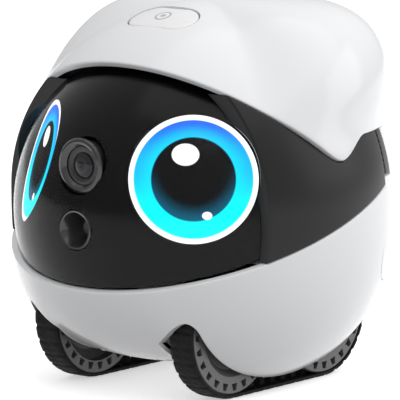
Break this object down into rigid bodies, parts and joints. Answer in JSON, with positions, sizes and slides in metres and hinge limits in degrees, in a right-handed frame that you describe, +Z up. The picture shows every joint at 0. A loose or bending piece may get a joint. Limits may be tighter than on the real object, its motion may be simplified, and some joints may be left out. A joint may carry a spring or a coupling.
{
  "type": "tracked companion robot",
  "caption": "Ball-shaped home robot on rubber tracks, with a smoked glass face, round display eyes, a camera, a range sensor and a touch button on top",
  "frame": {"origin": "on the floor, under the middle of the robot's outline", "axes": "+Z up, the face looks along -Y, +X to the robot's left side"},
  "size_m": [0.0948, 0.0944, 0.0934],
  "materials": {
    "shell_white": "glossy white, faint soft sheen",
    "frame_black": "satin black",
    "mesh_black": "matte black mesh",
    "smoked_glass": "smoked, highly polished",
    "display": "lit round display",
    "trim_black": "polished black",
    "lens_glass": "coated lens",
    "inner_plastic": "moulded, matte",
    "battery_wrap": "shrink wrap",
    "board_green": "solder mask",
    "gearbox": "moulded gear case",
    "steel": "turned",
    "wheel_grey": "satin dark grey",
    "belt_rubber": "moulded rubber",
    "contact_brass": "plated"
  },
  "bodies": {
    "robot_body": {"bottom_shell": "shell_white", "top_cover": "shell_white", "rear_cover": "shell_white", "side_panel_left": "frame_black", "side_panel_right": "frame_black", "face_mask": "frame_black", "speaker_mesh_left": "mesh_black", "speaker_mesh_right": "mesh_black", "face_window": "smoked_glass", "eye_display_left": "display", "eye_display_right": "display", "camera_ring": "trim_black", "camera_barrel": "trim_black", "camera_lens": "lens_glass", "range_sensor": "trim_black", "button_switch": "inner_plastic", "chassis": "inner_plastic", "battery_pack": "battery_wrap", "main_board": "board_green", "drive_motor_left": "gearbox", "drive_motor_right": "gearbox", "speaker_driver": "inner_plastic", "track_belt_left": "belt_rubber", "track_belt_right": "belt_rubber", "charge_contacts": "contact_brass", "belt_lugs_left": "belt_rubber", "belt_lugs_right": "belt_rubber", "belly_screws": "steel", "board_screws": "steel"},
    "front_left_wheel": {"front_wheel_left": "wheel_grey", "front_hub_cap_left": "trim_black", "front_axle_left": "steel"},
    "rear_left_wheel": {"rear_wheel_left": "wheel_grey", "rear_hub_cap_left": "trim_black", "rear_shaft_left": "steel"},
    "front_right_wheel": {"front_wheel_right": "wheel_grey", "front_hub_cap_right": "trim_black", "front_axle_right": "steel"},
    "rear_right_wheel": {"rear_wheel_right": "wheel_grey", "rear_hub_cap_right": "trim_black", "rear_shaft_right": "steel"},
    "crown_button": {"touch_button": "shell_white"}
  },
  "joints": [
    {"name": "rear_left_wheel_spin", "type": "hinge", "parent": "robot_body", "child": "rear_left_wheel", "pos_m": [0.0212, 0.0175, 0.0166], "axis": [1, 0, 0], "continuous": true},
    {"name": "front_left_wheel_spin", "type": "hinge", "parent": "robot_body", "child": "front_left_wheel", "pos_m": [0.0212, -0.0175, 0.0166], "axis": [1, 0, 0], "continuous": true},
    {"name": "rear_right_wheel_spin", "type": "hinge", "parent": "robot_body", "child": "rear_right_wheel", "pos_m": [-0.0212, 0.0175, 0.0166], "axis": [1, 0, 0], "continuous": true},
    {"name": "front_right_wheel_spin", "type": "hinge", "parent": "robot_body", "child": "front_right_wheel", "pos_m": [-0.0212, -0.0175, 0.0166], "axis": [1, 0, 0], "continuous": true},
    {"name": "button_press", "type": "slide", "parent": "robot_body", "child": "crown_button", "axis": [0, 0.1822, -0.9833], "range_m": [0, 0.0005], "stiffness_N_per_m": 400, "springref_m": -0.0004}
  ],
  "couplings": [
    {"joint": "front_left_wheel_spin", "follows": "rear_left_wheel_spin", "ratio": 1},
    {"joint": "front_right_wheel_spin", "follows": "rear_right_wheel_spin", "ratio": 1}
  ]
}
